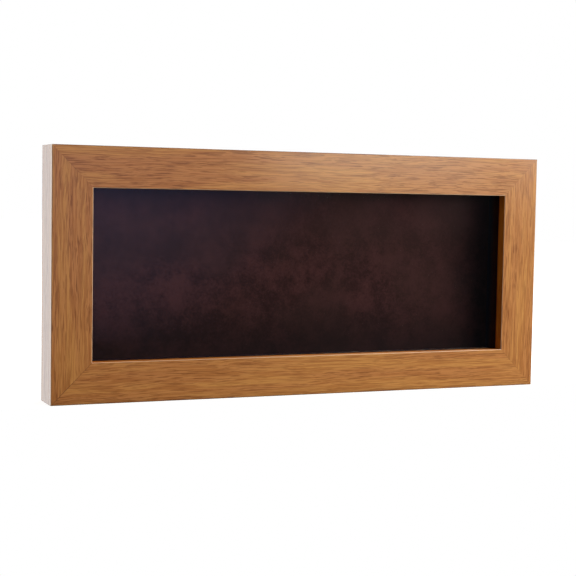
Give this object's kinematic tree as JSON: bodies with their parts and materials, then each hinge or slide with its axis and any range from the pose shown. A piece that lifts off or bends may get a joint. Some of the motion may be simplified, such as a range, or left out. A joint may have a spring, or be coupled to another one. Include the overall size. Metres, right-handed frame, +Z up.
{
  "type": "shadow box",
  "caption": "Deep oak-finished shadow box with a wide glazed window, a dark lined space and a suede-covered back panel held in by turn buttons.",
  "frame": {"origin": "middle of the box's footprint, at its base; the box stands on its bottom rail", "axes": "+Z up, the glass faces -Y, +X to the viewer's right from the front"},
  "size_m": [0.608, 0.0486, 0.28],
  "materials": {
    "oak_rail": "satin honey-oak finish, grain along X",
    "oak_upright": "satin honey-oak finish, grain along Z",
    "clear_glass": "clear float glass",
    "black_strip": "matt black paint",
    "brown_suede": "mottled short-nap suede",
    "fibre_board": "raw fibre board",
    "hardboard": "tempered hardboard, smooth side out",
    "zinc_plate": "zinc-plated pressed steel",
    "bright_zinc": "bright zinc-plated steel",
    "bumper_rubber": "matt black rubber"
  },
  "bodies": {
    "frame": {"frame_bottom": "oak_rail", "frame_top": "oak_rail", "frame_left": "oak_upright", "frame_right": "oak_upright", "glass_pane": "clear_glass", "spacer_top": "black_strip", "spacer_bottom": "black_strip", "spacer_left": "black_strip", "spacer_right": "black_strip", "turn_button_screws": "bright_zinc", "hanger_nails": "bright_zinc", "v_nails": "bright_zinc", "sawtooth_hanger_left": "zinc_plate", "sawtooth_hanger_right": "zinc_plate", "wall_bumper_left": "bumper_rubber", "wall_bumper_right": "bumper_rubber"},
    "back_panel": {"back_board": "hardboard", "mount_board": "fibre_board", "suede_cover": "brown_suede"},
    "turn_button_top_left": {"turn_button_top_left": "zinc_plate"},
    "turn_button_top_right": {"turn_button_top_right": "zinc_plate"},
    "turn_button_bottom_left": {"turn_button_bottom_left": "zinc_plate"},
    "turn_button_bottom_right": {"turn_button_bottom_right": "zinc_plate"},
    "turn_button_left": {"turn_button_left": "zinc_plate"},
    "turn_button_right": {"turn_button_right": "zinc_plate"}
  },
  "joints": [
    {"name": "back_slide", "type": "slide", "parent": "frame", "child": "back_panel", "axis": [0, 1, 0], "range_m": [0, 0.15]},
    {"name": "button_top_left_turn", "type": "hinge", "parent": "frame", "child": "turn_button_top_left", "pos_m": [-0.15, 0.02075, 0.2515], "axis": [0, 1, 0], "continuous": true},
    {"name": "button_top_right_turn", "type": "hinge", "parent": "frame", "child": "turn_button_top_right", "pos_m": [0.15, 0.02075, 0.2515], "axis": [0, 1, 0], "continuous": true},
    {"name": "button_bottom_left_turn", "type": "hinge", "parent": "frame", "child": "turn_button_bottom_left", "pos_m": [-0.15, 0.02075, 0.0285], "axis": [0, 1, 0], "continuous": true},
    {"name": "button_bottom_right_turn", "type": "hinge", "parent": "frame", "child": "turn_button_bottom_right", "pos_m": [0.15, 0.02075, 0.0285], "axis": [0, 1, 0], "continuous": true},
    {"name": "button_left_turn", "type": "hinge", "parent": "frame", "child": "turn_button_left", "pos_m": [-0.2755, 0.02075, 0.14], "axis": [0, 1, 0], "continuous": true},
    {"name": "button_right_turn", "type": "hinge", "parent": "frame", "child": "turn_button_right", "pos_m": [0.2755, 0.02075, 0.14], "axis": [0, 1, 0], "continuous": true}
  ]
}
